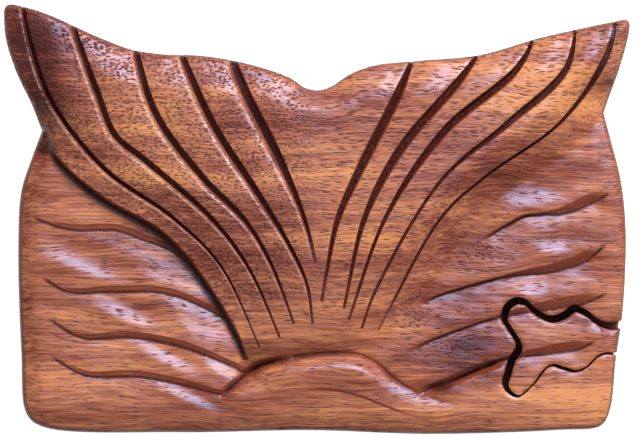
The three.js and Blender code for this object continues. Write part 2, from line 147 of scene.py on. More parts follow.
# Small cuts: points, width, depth and painted shade in the crease
SMALL_CUTS = [
    ([(-4, -41), (1.5, -41), (5.6, -41.4), (11.1, -42.9), (17.6, -45.5), (24.8, -47.9)], 0.9, 0.05, 0.9),
    ([(45.6, 4.6), (37.2, -3.2), (31, -10.4), (26, -17.4), (20, -26)], 2.6, 0.3, 0.2),
    ([(-24.5, -43.6), (-20.6, -40.6), (-16.6, -37.2), (-12, -34.9), (-6, -33.8)], 2.6, 1.3, 1),
    ([(46, -33.8), (38.5, -36.4), (33, -38.8), (28, -40.8), (22.5, -43)], 2.8, 1.4, 1),
    ([(-65.8, -26.2), (-61, -29), (-56.4, -30), (-50, -30.2)], 0.7, 0.05, 0.6),
]
# Facets that face the window: middle, half length, half width, direction and slope
FACETS = [
    (-57.5, -10.4, 10.5, 3.6, -17, 0.22), (-46.5, -22.4, 8, 3, -20, 0.22),
    (-36, -33.6, 7.5, 2.2, -22, 0.22),
    (-29.5, -43.6, 7.5, 1.9, -20, 0.2), (51.2, 5, 9, 3.4, 20, 0.13), (56.6, -6.6, 5, 2.3, 22, 0.18),
    (51.6, -17, 4.6, 2, 25, 0.16), (68.6, -27, 3.4, 1.4, 8, 0.22), (-22, -35.6, 4.2, 2.8, -35, 0.17),
]
SWELL_EDGE = [
    (-22.5, -42.4), (-18.4, -39.3), (-14.4, -35.6), (-11.2, -34.5), (-6.4, -33.5), (0, -32.6),
    (5.6, -32.3), (10.4, -32.9), (14.8, -35.2), (18.6, -38.6), (23, -41.4), (29, -43.6), (34, -44.8),
]
SAW_EDGE = [
    (78.1, -24.6), (69.9, -24.9), (67.2, -23.9), (64.8, -22), (61.6, -20.8), (58.8, -22.5),
    (56.2, -23.3), (52.8, -21.8), (50.2, -19.4), (47.6, -18.9), (44.9, -20.8), (44.2, -24),
    (45.9, -27), (47.7, -30.4), (46.1, -33.3), (45.2, -36.4), (44.4, -39.3), (45.4, -41.6),
    (48.2, -43), (51.9, -40.2), (56, -35.6), (58.6, -36.2), (61.8, -37), (64.8, -35.9),
    (68.4, -32.9), (78.1, -33),
]
SAW_KERF = 1.2
KEY_REST = np.array([0.45, -0.6])

# %% [markdown]
# ## Curves
# A carver draws the outline, the furrows and the waves on the wood as smooth lines. Blender's curve
# objects could hold them, but every later shape asks how far a place is from a line and how far
# along it lies. So each line is a centripetal Catmull-Rom curve through a few points, worked out
# with numpy and walked again at even steps.

# %% Smooth lines and distances to them
def even_steps(line, steps_in):
    """A line walked again at even steps: places interpolated at equal shares of its length."""
    length = np.concatenate([[0], np.cumsum(np.linalg.norm(np.diff(line, axis=0), axis=1))])
    at = np.linspace(0, length[-1], steps_in(length[-1]) + 1)
    return np.column_stack([np.interp(at, length, line[:, k]) for k in (0, 1)])


def smooth_line(points, step, closed=False, dense=24):
    """Centripetal Catmull-Rom curve. Each span between two points is a cubic whose end slopes come
    from the neighbouring points, weighted by the square roots of the spans' lengths. The curve is
    then cut at even arc lengths."""
    p = np.asarray(points, float)
    if closed:
        p = np.vstack([p[-1], p, p[0], p[1]])
    else:
        p = np.vstack([2 * p[0] - p[1], p, 2 * p[-1] - p[-2]])
    a, b, c, d = p[:-3], p[1:-2], p[2:-1], p[3:]
    ab, bc, cd = (np.linalg.norm(q - r, axis=1)[:, None] ** 0.5 for q, r in ((b, a), (c, b), (d, c)))
    start = ((b - a) / ab - (c - a) / (ab + bc) + (c - b) / bc) * bc
    stop = ((c - b) / bc - (d - b) / (bc + cd) + (d - c) / cd) * bc
    t = np.linspace(0, 1, dense, endpoint=False)[None, :, None]
    b, c, start, stop = (q[:, None, :] for q in (b, c, start, stop))
    curve = b + start * t + (3 * (c - b) - 2 * start - stop) * t**2 + (2 * (b - c) + start + stop) * t**3
    curve = np.vstack([curve.reshape(-1, 2), p[-2]])
    even = even_steps(curve, lambda length: max(2, int(round(length / step))))
    return even[:-1] if closed else even


def nearest(path, x, y, closed=False, block=16000):
    """Distance from each place to a line of straight spans, the share of the way along it, and the
    side: the sign of the cross product of the span with the way to the place, positive on its left."""
    a, b = (path, np.roll(path, -1, axis=0)) if closed else (path[:-1], path[1:])
    span = b - a
    square = (span**2).sum(1)
    out = np.empty((3, x.size))
    for k in range(0, x.size, block):
        dx = x[k:k + block, None] - a[:, 0]
        dy = y[k:k + block, None] - a[:, 1]
        t = np.clip((dx * span[:, 0] + dy * span[:, 1]) / square, 0, 1)
        far = np.hypot(dx - t * span[:, 0], dy - t * span[:, 1])
        best = far.argmin(1)
        row = np.arange(best.size)
        cross = span[best, 0] * dy[row, best] - span[best, 1] * dx[row, best]
        out[:, k:k + block] = far[row, best], (best + t[row, best]) / len(a), np.sign(cross)
    return out


def to_edge(loop, x, y):
    """Distance from each place to a closed line."""
    return nearest(loop, x, y, closed=True)[0]


def inside(path, x, y, block=16000):
    """Whether places are inside a closed line: a ray to the right crosses it an odd number of times."""
    a, b = path, np.roll(path, -1, axis=0)
    out = np.empty(x.size, bool)
    rise = np.where(a[:, 1] == b[:, 1], 1.0, b[:, 1] - a[:, 1])
    for k in range(0, x.size, block):
        px, py = x[k:k + block, None], y[k:k + block, None]
        spans = (a[:, 1] > py) != (b[:, 1] > py)
        out[k:k + block] = (spans & (px < a[:, 0] + (py - a[:, 1]) / rise * (b[:, 0] - a[:, 0]))).sum(1) % 2
    return out


def ease(t):
    """Smooth step: 0 below 0, 1 above 1, with the cubic 3t^2 - 2t^3 between."""
    t = np.clip(t, 0, 1)
    return t * t * (3 - 2 * t)


def fades(t, start, length):
    """1 up to a start, then down to 0 by a smooth step of a length."""
    return 1 - ease((t - start) / length)


def bell(t):
    """Bell curve, 1 at 0: e to the power of minus t squared."""
    return np.exp(-t * t)


def patch(x, y, cx, cy, a, b):
    """Oval spot with a soft rim: a bell of the distance from its middle, counted in half axes."""
    return bell(np.hypot((x - cx) / a, (y - cy) / b))


def patches(x, y, rows):
    """Sum of the spots in a table of middle, half axes and strength."""
    return sum(strength * patch(x, y, *oval) for *oval, strength in rows)


def shifted(path, distance, closed=True):
    """The line moved sideways, to its left, by one distance or by one for each point, along its
    normals."""
    if closed:
        along = np.roll(path, -1, axis=0) - np.roll(path, 1, axis=0)
    else:
        along = np.gradient(path, axis=0)
    normal = np.column_stack([-along[:, 1], along[:, 0]])
    normal /= np.linalg.norm(normal, axis=1)[:, None]
    return path + np.reshape(distance, (-1, 1)) * normal


def outline_at(step):
    """The box's closed outline, run clockwise from the left fluke tip, cut at even steps, with both
    tips rounded: the points near a tip lie on the parabola (1-t)^2 a + 2t(1-t) tip + t^2 b."""
    stretches = (REAR_EDGE, RIGHT_FLUKE_SIDE, BODY_EDGE, LEFT_FLUKE_SIDE)
    line = np.vstack([smooth_line(points, step)[:-1] for points in stretches])
    for tip, reach in ((LEFT_TIP, 3.0), (RIGHT_TIP, 2.2)):
        near = run_of(np.hypot(*(line - tip).T) < reach)
        t = np.linspace(0, 1, len(near))[:, None]
        line[near] = (1 - t) ** 2 * line[near[0]] + 2 * t * (1 - t) * np.array(tip) + t**2 * line[near[-1]]
    return line


def run_of(keep):
    """Indices of the single run of True values on a closed line, in order from its first to its last."""
    first = np.flatnonzero(keep & ~np.roll(keep, 1))[0]
    return (first + np.arange(keep.sum())) % len(keep)


STEP = 0.8
OUTLINE = outline_at(STEP)
TAIL_LEFT, TAIL_RIGHT, ROOT, SWELL = (
    smooth_line(points, STEP) for points in (TAIL_LEFT_EDGE, TAIL_RIGHT_EDGE, TAIL_ROOT, SWELL_EDGE))
BEYOND = [(80, RIGHT_NECK[1]), (80, 60), (-80, 60), (-80, LEFT_NECK[1])]
TAIL_AREA = np.vstack([TAIL_LEFT, ROOT[1:], TAIL_RIGHT[::-1][1:], BEYOND])
LEFT_CUTS, RIGHT_CUTS, FINE_CUTS, WAVE_LINES = (
    [(smooth_line(points, STEP), *numbers) for points, *numbers in rows]
    for rows in (LEFT_FURROWS, RIGHT_FURROWS, SMALL_CUTS, WAVES))
print("outline", len(OUTLINE), "points")

# %% [markdown]
# ## The carved relief
# The top of the lid is carved with gouges. It could be sculpted, or cut with many Booleans, but
# neither is easy to correct by a measured amount. So the top is one height for each place on the
# drawing: a level of water, waves that step down behind each gouge and climb slowly to the next
# one, the tail that stands over the water, the swell over its root, and furrows with a sloping left
# wall and a steep right one.

# %% Relief of the tail
def tail_share(x, y):
    """How far a place belongs to the tail, 0 in the sea to 1 on it. It rises over 1.1 mm from the left
    edge, 2 mm at the neck, over 12 mm from the right edge and 6 mm from the root."""
    on_tail = inside(TAIL_AREA, x, y)
    left, right, front = (nearest(p, x, y)[0] for p in (TAIL_LEFT, TAIL_RIGHT, ROOT))
    wall = np.clip(left / (1.1 + 0.9 * patch(x, y, -66, 20, 4, 4)), 0, 1)
    share = np.minimum(np.minimum(wall, ease(right / 12)), ease(front / 6))
    return np.where(on_tail, share, 0), on_tail, left, right


def crown_height(x, y, left):
    """Height of the tail's back over the water, climbing from the stock to the flukes and falling a
    little towards the left wall and more towards the left neck."""
    crown = STOCK_RISE + (TAIL_RISE - STOCK_RISE) * ease((y + 40) / 46)
    return crown * (0.42 + 0.58 * ease((left + 4) / 18)) * (1 - 0.62 * patch(x, y, -66, 21, 7, 7))


def cut_across(path, x, y, reach):
    """For places within reach of a cut: their index, distance across it (positive on the left of its
    run), and share of the way along it."""
    low, high = path.min(0) - reach, path.max(0) + reach
    near = np.flatnonzero((x > low[0]) & (x < high[0]) & (y > low[1]) & (y < high[1]))
    far, along, side = nearest(path, x[near], y[near])
    return near, far * side, along


LEFT_OPENING, RIGHT_OPENING = 0.7, 0.3


def furrow_taper(along, opening, narrows):
    """Share of a furrow's full width: from the opening at the rim to 1, then, from where it narrows,
    down to 0.4."""
    widening = opening + (1 - opening) * ease(along / min(0.22, narrows + 0.08))
    return widening * (1 - 0.6 * ease((along - narrows) / (0.22 + 0.7 * narrows)))


def furrow_cut(x, y):
    """Height change, painted shade and varnish stain, and painted lip highlight of the furrows. Across a
    furrow of width w, a chamfer 0.32w wide leads to the left wall, which ends at -0.28w. The floor
    climbs to the steep right wall, from 0.16w to 0.36w, but not in the shallow last furrow. The wood
    leans a little towards each furrow."""
    height, shade_and_stain, painted_lip_glint = np.zeros((3, x.size))
    for cuts, opening, wall, glint_weight, pale in ((LEFT_CUTS, LEFT_OPENING, 0.36, 1, 0),
                                            (RIGHT_CUTS, RIGHT_OPENING, 0.2, 0.2, 0.12)):
        for path, width, deep, narrows in cuts:
            climb = 0.3 if cuts is LEFT_CUTS else 0.5 * min(1, (deep - 1.4) / 0.15)
            near, off, along = cut_across(path, x, y, 7)
            taper = furrow_taper(along, opening, narrows)
            ends = fades(along, 0.8, 0.2)
            u = off / (width * taper)
            floor_side = ease((u + 0.28 + wall) / wall)
            right_side = np.clip((0.36 - u) / 0.2, 0, 1)
            cut = np.minimum(floor_side, right_side)
            chamfer = 0.1 * width * taper * np.clip((u + 0.6 + wall) / 0.32, 0, 1) * right_side
            full = ends * (1 - 0.75 * ease((along - 0.35) / 0.5))
            beyond = np.maximum(off - 0.36 * width * taper, 0)
            lean = np.where(u > 0.36, np.exp(-beyond / 2.4) * fades(off, 4, 3), floor_side)
            ridge = 0.12 * bell((off + 2.8) / 1.6)
            rise = climb * np.clip((u + 0.28) / 0.44, 0, 1)
            deeper = deep * (0.3 + 0.7 * taper) * cut * (1 - rise) + chamfer
            height[near] -= (0.6 * lean + ridge) * full + deeper * ends
            # Painted shade over the furrow's floor and walls, with varnish stain, fading along the right
            # furrows
            dark = (along < 0.995) * (1 - pale * ease((along - 0.45) / 0.3))
            shade_and_stain[near] = np.maximum(shade_and_stain[near], np.clip(cut * 1.9 - 0.7, 0, 1) * dark)
            # Painted highlight along the furrows' left lips, full on the left fluke and weak on the right
            # one
            edge = np.clip(1.1 - np.abs(u + 0.42 + wall) / 0.16, 0, 1) * fades(along, 0.85, 0.1)
            painted_lip_glint[near] = np.maximum(painted_lip_glint[near], glint_weight * edge)
    return height, shade_and_stain, painted_lip_glint


# %% Relief of the sea
def wall_width(along, left):
    """Width of a wave's wall in millimetres. On the left it opens slowly to 1.4 and closes again; on
    the right it is a leaf, 2.3 wide near its outer end, that runs out in a line."""
    if left:
        return 0.5 + 0.9 * ease(along / 0.35) * (1 - 0.7 * ease((along - 0.6) / 0.4))
    return 0.6 + 1.7 * ease(along / 0.14) * fades(along, 0.16, 0.45)


def wave_steps(x, y):
    """Height and painted shade of the waves. Behind a cut is a short wall with a low crest; in front of it
    the slope climbs back by an exponential. Painted shade lies along the wall's foot and top and, more
    lightly, over the wall, and every wave fades at its two ends."""
    height, shade_and_stain = np.zeros((2, x.size))
    for path, deep, reach in WAVE_LINES:
        far, along, side = nearest(path, x, y)
        left = path[0, 0] < 0
        wide = wall_width(along, left)
        fade = ease(along / (0.3 if left else 0.14)) * fades(along, 0.75, 0.25)
        behind = side * np.sign(path[-1, 0] - path[0, 0]) > 0
        back = deep * fades(far, 0, wide) - 0.2 * deep * bell((far - wide - 1.6) / 2.0)
        front = deep * np.exp(-far / reach) * fades(far, 8, 8)
        height -= fade * np.where(behind, back, front)
        line = ease(along / 0.05) * fades(along, 0.86, 0.14)
        # Painted shade: dark lines at the foot and top of the wall, a lighter band over the wall behind
        foot = line * np.clip(2.4 - far / 0.22, 0, 1)
        top = np.where(behind, line * ease(along / 0.2) * np.clip(1.7 - np.abs(far - wide) / 0.2, 0, 1), 0)
        band = np.where(behind, (0.36 if left else 0.5) * fades(far, wide - 0.1, 0.3), 0) * fade
        shade_and_stain = np.maximum.reduce([shade_and_stain, band, 0.82 * foot, 0.76 * top])
    return height, shade_and_stain


def small_cuts(x, y):
    """Height and painted shade of thin V cuts: depth times 1 - |off| / half width, fading at both ends."""
    height, shade_and_stain = np.zeros((2, x.size))
    for path, width, deep, dark in FINE_CUTS:
        near, off, along = cut_across(path, x, y, 2)
        share = ease(along / 0.2) * fades(along, 0.75, 0.25)
        share = share * np.clip(1 - np.abs(off) / (width / 2), 0, 1)
        height[near] -= deep * share
        # Painted shade along each cut's crease
        shade_and_stain[near] = np.maximum(shade_and_stain[near], dark * share)
    return height, shade_and_stain


def facets(x, y):
    """Small planes tilted towards the window, each faded out at its border: minus slope times the
    distance towards the window, times e to the power of -|u/a|^2.6 - |v/b|^2.6."""
    height = np.zeros(x.size)
    for cx, cy, a, b, direction, slope in FACETS:
        c, s = math.cos(math.radians(direction)), math.sin(math.radians(direction))
        dx, dy = x - cx, y - cy
        u, v = dx * c + dy * s, dy * c - dx * s
        height -= slope * (0.55 * dx + 0.84 * dy) * np.exp(-np.abs(u / a) ** 2.6 - np.abs(v / b) ** 2.6)
    return height


def swell_height(x, y):
    """The swell over the tail's root. In front of its rear line it climbs over 3 mm to a crest and
    falls off by a bell curve; along the line itself runs a crease, darkened with painted shade."""
    far, along, side = nearest(SWELL, x, y)
    length = np.clip(np.sin(np.pi * np.clip(along, 0, 1)), 0, 1) ** 0.6
    crest = 1.4 * length * (1 - 0.7 * ease((along - 0.55) / 0.3)) * ease(far / 3.6)
    crest = crest * bell(np.maximum(far - 3.6, 0) / 6.5)
    crease = -0.7 * length * np.exp(-far / 0.9)
    # Painted shade along the crease, lighter near six tenths of its length
    dark = length * (1 - 0.7 * bell((along - 0.6) / 0.07))
    wide = 0.7 + 0.6 * fades(along, 0.22, 0.2)
    return np.where(side < 0, crest, 0) + crease, dark * np.clip(1.5 - far / wide, 0, 1)


# Soft spots: middle, half axes, and depth for the hollows, painted shade for the shaded spots
HOLLOWS = [(-15.6, -36.6, 2.6, 2.6, 1.2)]
PAINTED_SHADE_SPOTS = [(-15.6, -36.6, 2.4, 1.6, 0.7), (-65.2, 16.9, 2.8, 1.9, 1.4), (29.5, -40.4, 5.5, 2.1, 0.95)]


def trough_depth(x, y, left, right):
    """How far the sea dips towards the tail: a plane that goes down to the left wall within 9 mm, by
    more the nearer the root, and a soft dip at the right edge."""
    deep = 0.15 + 1.2 * ease((8 - y) / 24)
    t = np.clip(1 - np.maximum(left - 1.2, 0) / (3 + 6 * ease((12 - y) / 20)), 0, 1)
    plane = deep * 1.25 * t * t / (t + 0.25) * ease((y + 44) / 5)
    return plane + 0.6 * np.exp(-right / 5) * ease((y + 44) / 8)


def rear_fall(x, y, inward, at_rear):
    """How far the flukes fall to their rear rim: an even slope of about 0.27 over 8.5 mm with a soft
    start, t^2 / (t + 0.15), almost nothing beside the left tip, and the tip's own slope to the left."""
    t = np.clip(1 - inward / 8.5, 0, 1)
    beside_tip = (1 - bell((x + 70) / 9)) * (1 - 0.8 * bell((x + 61) / 6))
    fall = 2.1 * 1.15 * t * t / (t + 0.15) * at_rear * beside_tip
    return fall + 1.9 * ease((y - 14) / 8) * np.clip((-61 - 0.2 * (y - 30) - x) / 16, 0, 1)


def edge_fall(x, y, inward, at_rear):
    """How far the hand-rounded rim falls: a quarter circle at the very edge and a wide soft slope,
    lower at the right and at the rear."""
    radius = 1.3
    turn = np.clip(inward, 0, radius)
    arc = radius - np.sqrt(radius**2 - (radius - turn) ** 2)
    return arc * 0.8 + (1.3 - 0.9 * ease((x - 30) / 30)) * (1 - 0.8 * at_rear) * fades(inward, 0, 5)


def carved_height(x, y):
    """Height of the carved top over the table in millimetres, the painted shade and stain of its deep
    places, creases, rim and tail wall, the share of the tail, and the furrows' painted lip highlight."""
    share, on_tail, left, right = tail_share(x, y)
    waves, wave_crease_shade = wave_steps(x, y)
    swell, swell_crease_shade = swell_height(x, y)
    fine, cut_crease_shade = small_cuts(x, y)
    sea = waves + swell + facets(x, y) - patches(x, y, HOLLOWS) - trough_depth(x, y, left, right)
    furrows, furrow_shade_and_stain, painted_lip_glint = furrow_cut(x, y)
    cut_share = np.clip(3 * share, 0, 1)
    height = sea + (crown_height(x, y, left) - sea) * share + furrows * cut_share + fine
    inward = np.where(inside(OUTLINE, x, y), to_edge(OUTLINE, x, y), 0)
    at_rear = ease((y - 24) / 8) * on_tail
    tool = 0.04 * np.sin(0.9 * x + 0.4 * y) * np.sin(0.35 * x - 1.1 * y)
    fall = edge_fall(x, y, inward, at_rear) + rear_fall(x, y, inward, at_rear) * on_tail
    z = WATER_LEVEL + height - fall + tool
    # Painted shadow along the foot of the tail's left wall, on both sides of it
    painted_wall_shadow = np.where(on_tail, fades(left, 0.2, 1.0), fades(left, 0.5, 0.6)) * (y > -34)
    sea_crease_shade = np.maximum(wave_crease_shade, swell_crease_shade * 0.85) * (1 - share)
    # Painted shade along the rim, wider towards the left end
    painted_rim_shade = 0.95 * fades(inward, 0, 0.8 + 0.5 * ease((-40 - x) / 20))
    shade_and_stain = np.maximum.reduce([furrow_shade_and_stain * cut_share, sea_crease_shade, painted_wall_shadow * 0.95, painted_rim_shade,
                               cut_crease_shade, patches(x, y, PAINTED_SHADE_SPOTS)])
    return z, shade_and_stain, share, painted_lip_glint * cut_share


# %% [markdown]
# ## Meshing the carving
# The relief now has to become triangles. A grid fine enough for the furrows' lips would be far too
# heavy all over, and slanting cuts would run across it in stairs. So rows of points lie beside each
# furrow, wave and edge, with a coarser grid between them. A constrained Delaunay triangulation
# joins them, and the heights come from the formulas above.

# %% Points and triangles
FINE_STEP = 0.4
ACROSS_FURROW = (-1.15, -0.95, -0.78, -0.64, -0.48, -0.28, -0.06, 0.16, 0.36, 0.52)
ACROSS_WALL = (-1.7, -1.3, -0.9, -0.45, 0, 0.35, 0.7, 1.1, 1.5)
ACROSS_SWELL = (-1.6, -0.9, -0.4, 0, 0.4, 0.9, 1.6)
FIVE_ROWS = (-0.5, -0.25, 0, 0.25, 0.5)


def rows_beside(path, offsets):
    """Points of a line moved sideways by each of the offsets."""
    return np.vstack([shifted(path, o, closed=False) for o in offsets])


def thinned(groups, cell):
    """Groups of points, most wanted first. A point stays if no earlier group has one in its own cell
    or a neighbouring one."""
    kept = [groups[0]]
    taken = np.unique(cell_key(groups[0], cell, 0, 0))
    for group in groups[1:]:
        busy = np.zeros(len(group), bool)
        for i in (-1, 0, 1):
            for j in (-1, 0, 1):
                busy |= np.isin(cell_key(group, cell, i, j), taken)
        group = group[~busy]
        first = np.unique(cell_key(group, cell * 0.6, 0, 0), return_index=True)[1]
        group = group[np.sort(first)]
        kept.append(group)
        taken = np.union1d(taken, cell_key(group, cell, 0, 0))
    return np.vstack(kept)


def cell_key(points, cell, i, j):
    """One number for the square cell of each point, or for the cell i, j cells away."""
    q = np.floor(points / cell).astype(np.int64)
    return (q[:, 0] + i) * 100003 + (q[:, 1] + j)


def detail_points():
    """Points in rows beside the carver's lines, the finest first, then an even grid."""
    lines = []
    for furrows, opening in ((LEFT_FURROWS, LEFT_OPENING), (RIGHT_FURROWS, RIGHT_OPENING)):
        for points, width, _, narrows in furrows:
            line = smooth_line(points, FINE_STEP)
            taper = width * furrow_taper(np.linspace(0, 1, len(line)), opening, narrows)
            lines.append(rows_beside(line, [k * taper for k in ACROSS_FURROW]))
    for points, _, _ in WAVES:
        line = smooth_line(points, FINE_STEP)
        wide = wall_width(np.linspace(0, 1, len(line)), points[0][0] < 0)
        wide *= np.sign(points[-1][0] - points[0][0])
        lines += [rows_beside(line, FIVE_ROWS), rows_beside(line, [wide + k for k in (-0.3, 0, 0.3)])]
    for points, width, _, _ in SMALL_CUTS:
        lines.append(rows_beside(smooth_line(points, FINE_STEP), [k * width for k in FIVE_ROWS]))
    lines.append(rows_beside(smooth_line(TAIL_LEFT_EDGE, FINE_STEP), ACROSS_WALL))
    lines.append(rows_beside(smooth_line(SWELL_EDGE, FINE_STEP), ACROSS_SWELL))
    gx, gy = np.meshgrid(np.arange(-76, 76, 0.6), np.arange(-53, 53, 0.52))
    gx[1::2] += 0.3
    return lines, np.column_stack([gx.ravel(), gy.ravel()])


DETAIL_LINES, EVEN_GRID = detail_points()


def single(points):
    """Places rounded to single precision, in which the triangulation works."""
    return np.float32(points).astype(float)


def triangulate(points, loops):
    """Delaunay triangles with the loops as fixed edges, counter-clockwise. What stays is inside the
    first loop and outside the others. The points start with the loops' own."""
    points, loops = single(points), [single(loop) for loop in loops]
    edges = []
    for loop in loops:
        index = np.arange(len(loop)) + len(edges)
        edges += np.column_stack([index, np.roll(index, -1)]).tolist()
    found = delaunay_2d_cdt([Vector(p) for p in points.tolist()], edges, [], 0, 1e-8)
    place, faces = np.array([tuple(v) for v in found[0]]), np.array(found[2])
    corners = place[faces]
    ab, ac = corners[:, 1] - corners[:, 0], corners[:, 2] - corners[:, 0]
    area = ab[:, 0] * ac[:, 1] - ab[:, 1] * ac[:, 0]
    faces = np.where((area < 0)[:, None], faces[:, ::-1], faces)
    keep, *holes = (inside(loop, *corners.mean(1).T) for loop in loops)
    for hole in holes:
        keep &= ~hole
    return place, faces[keep]


# %% Closed solids from a top, walls and a flat underside
QUARTER_TURN = np.linspace(0, np.pi / 2, 4)
SHARP_ANGLE = 38


def bands(rings):
    """Quads between each closed ring of points and the next one. Each row holds a ring's numbers."""
    above, below = rings[:-1], rings[1:]
    quads = np.stack([above, below, np.roll(below, -1, 1), np.roll(above, -1, 1)], -1)
    return quads.reshape(-1, 4).tolist()


def at_height(line, z):
    """Places of a flat line at one height, or at one for each point."""
    return np.column_stack([line, np.broadcast_to(z, len(line))])


def solid_mesh(name, place, top_z, faces, loop, bottom, bevel=0.2):
    """Closed mesh: the top's triangles, a wall under the loop, and a flat underside. The loop runs
    counter-clockwise, and the foot of the wall turns in by a quarter circle, r(1 - cos a)."""
    n = len(loop)
    levels = [(0, top_z[:n] - 0.5), (0, (top_z[:n] + bottom + bevel) / 2)]
    levels += [(bevel * (1 - math.cos(a)), bottom + bevel * (1 - math.sin(a))) for a in QUARTER_TURN]
    verts = [at_height(place, top_z)] + [at_height(shifted(loop, inset), z) for inset, z in levels]
    rings = np.vstack([np.arange(n), len(place) + np.arange(len(levels) * n).reshape(-1, n)])
    _, under = triangulate(loop, [loop])
    tris = np.vstack([faces, rings[-1][under[:, ::-1]]]).tolist()
    return put_mesh(name, np.vstack(verts), tris + bands(rings))


def prism(name, first, last):
    """Prism between two like rings of places, joined by quads and closed by one face at each end."""
    n = len(first)
    i = np.arange(n)
    j = np.roll(i, -1)
    sides = np.column_stack([i, j, j + n, i + n]).tolist()
    return put_mesh(name, np.vstack([first, last]), sides + [i[::-1].tolist(), (i + n).tolist()])


def put_mesh(name, verts_mm, faces, sharp=SHARP_ANGLE):
    """A mesh object from places in millimetres and faces."""
    mesh = bpy.data.meshes.new(name)
    mesh.from_pydata((np.asarray(verts_mm) * MM).tolist(), [], faces)
    mesh.update()
    obj = bpy.data.objects.new(name, mesh)
    bpy.context.scene.collection.objects.link(obj)
    finish_shading(obj, sharp)
    return obj


def finish_shading(obj, sharp=SHARP_ANGLE):
    """Smooth shading, but for edges that turn by more than the sharp angle."""
    obj.data.shade_smooth()
    obj.data.set_sharp_from_angle(angle=math.radians(sharp))


def tell(label, obj):
    """Prints a piece's number of points, and of edges that don't lie between exactly two faces: 0 for
    a closed piece."""
    edge = np.empty(len(obj.data.loops), np.int32)
    obj.data.loops.foreach_get("edge_index", edge)
    loose = (np.bincount(edge, minlength=len(obj.data.edges)) != 2).sum()
    print(label, len(obj.data.vertices), "points, open edges", loose)


# %% [markdown]
# ## The lid and the key
# On the real box the key is sawn out of the carved lid. A Boolean could cut a finished carving in
# two, but it leaves long thin triangles along the cut. So the two outlines are cut in the plane
# first, and both pieces take their tops from the same relief. The saw kerf runs all round the key:
# the key's edge is the notch's edge moved in by the kerf, and the key lies a little towards the
# front right, as it does in the photograph.

# %% One outline cut by another
RIM = outline_at(0.42)
NOTCH = smooth_line(SAW_EDGE, 0.3, closed=True)
KEY_EDGE = shifted(NOTCH, SAW_KERF) + KEY_REST


def cut_rim(path, take_inside):
    """The rim and the saw's path, joined where they cross. Taken inside it is the key's outline: the
    path, then the piece of rim in it. Otherwise it is the lid's: the rim round the notch, then the
    path run the other way. The rim runs clockwise and the path runs the other way round."""
    in_path = inside(path, *RIM.T)
    sawn = path[run_of(inside(RIM, *path.T))]
    if take_inside:
        return np.vstack([sawn, RIM[run_of(in_path)][::-1]])
    return np.vstack([RIM[run_of(~in_path)], sawn])[::-1]


LID_LOOP, KEY_LOOP = cut_rim(NOTCH, False), cut_rim(KEY_EDGE, True)
print("lid outline", len(LID_LOOP), "points, key outline", len(KEY_LOOP), "points")

# %% Carved solids
EDGE_ROWS = (0.16, 0.4, 0.8, 1.3)
CLOSEST = 0.2


def carved_piece(name, loop):
    """The carved layer inside a loop: points from the loop, rows inside it, the carver's lines and the
    even grid, joined into triangles, with walls down to the flat underside."""
    rows = np.vstack([shifted(loop, d) for d in EDGE_ROWS])
    points = thinned([loop, rows, *DETAIL_LINES, EVEN_GRID], CLOSEST)
    rest = points[len(loop):]
    clear = inside(loop, *rest.T) & (to_edge(loop, *rest.T) > CLOSEST / 2)
    points = np.vstack([loop, rest[clear]])
    place, faces = triangulate(points, [loop])
    z = sanded_height(*place.T, loop)
    return solid_mesh(name, place, z, faces, loop, LID_UNDERSIDE)


def sanded_height(x, y, loop):
    """The carving's height, with the sawn edges softened: a fall of a quarter of a millimetre that
    fades within half a millimetre of the edge."""
    return carved_height(x, y)[0] - 0.25 * bell(to_edge(loop, x, y) / 0.3)


lid = carved_piece("carved_lid", LID_LOOP)
key = carved_piece("carved_key", KEY_LOOP)
tell("lid", lid)
tell("key", key)

# %% [markdown]
# ## Dovetail slots
# On the real lid two dovetail slots are routed into the underside from the left end, and the rails
# fill them while the box is shut. The underside's triangles could be planned round them, but it is
# flat and plain, so a Boolean cuts it cleanly with less work. Each slot is a bar of the rail's
# section, a little larger all round, taken out of the lid.

# %% Slots in the lid
RAILS = ("front_rail", "rear_rail")
RAIL_TOP, RAIL_FOOT = 5.0, 3.4
ROOM = 0.3
PAST_LEFT_END = -90


def take_out(obj, cutter):
    """Cuts one closed mesh out of another and removes the cutter."""
    cut = obj.modifiers.new("cut", "BOOLEAN")
    cut.operation, cut.solver, cut.object = "DIFFERENCE", "MANIFOLD", cutter
    with bpy.context.temp_override(object=obj, active_object=obj):
        bpy.ops.object.modifier_apply(modifier=cut.name)
    bpy.data.objects.remove(cutter)


for low, high in map(node_box, RAILS):
    middle, top = (low[1] + high[1]) / 2, high[2] + ROOM
    half_top = (high[1] - low[1]) / 2 + ROOM
    half_foot = half_top - (RAIL_TOP - RAIL_FOOT) / 2
    corners = [(-half_foot, low[2] - 2), (half_foot, low[2] - 2), (half_foot, low[2]), (half_top, top),
               (-half_top, top), (-half_foot, low[2])]
    ends = [[(x, middle + off, z) for off, z in corners] for x in (PAST_LEFT_END, high[0] + ROOM)]
    take_out(lid, prism("slot_cutter", *ends))
tell("lid after the slots", lid)

# %% [markdown]
# ## Painted shade, stain and tint
# Shade is painted into the colour where it falls: in the furrows, where varnish also gathers, in
# the waves' creases, the small cuts and the hollows, along the foot of the tail's left wall, on the
# kerf's sawn walls and along the rim. The furrows' lips get a painted highlight, pale where a glint
# would fall. The tint is partly the plank's own tone, golden behind the right fluke and red-brown at
# the left tip, and partly painted shade. This could be painted on an image, but the relief's
# formulas already know where each furrow is. So these are numbers on the mesh, one for each point,
# and the wood's material reads them.

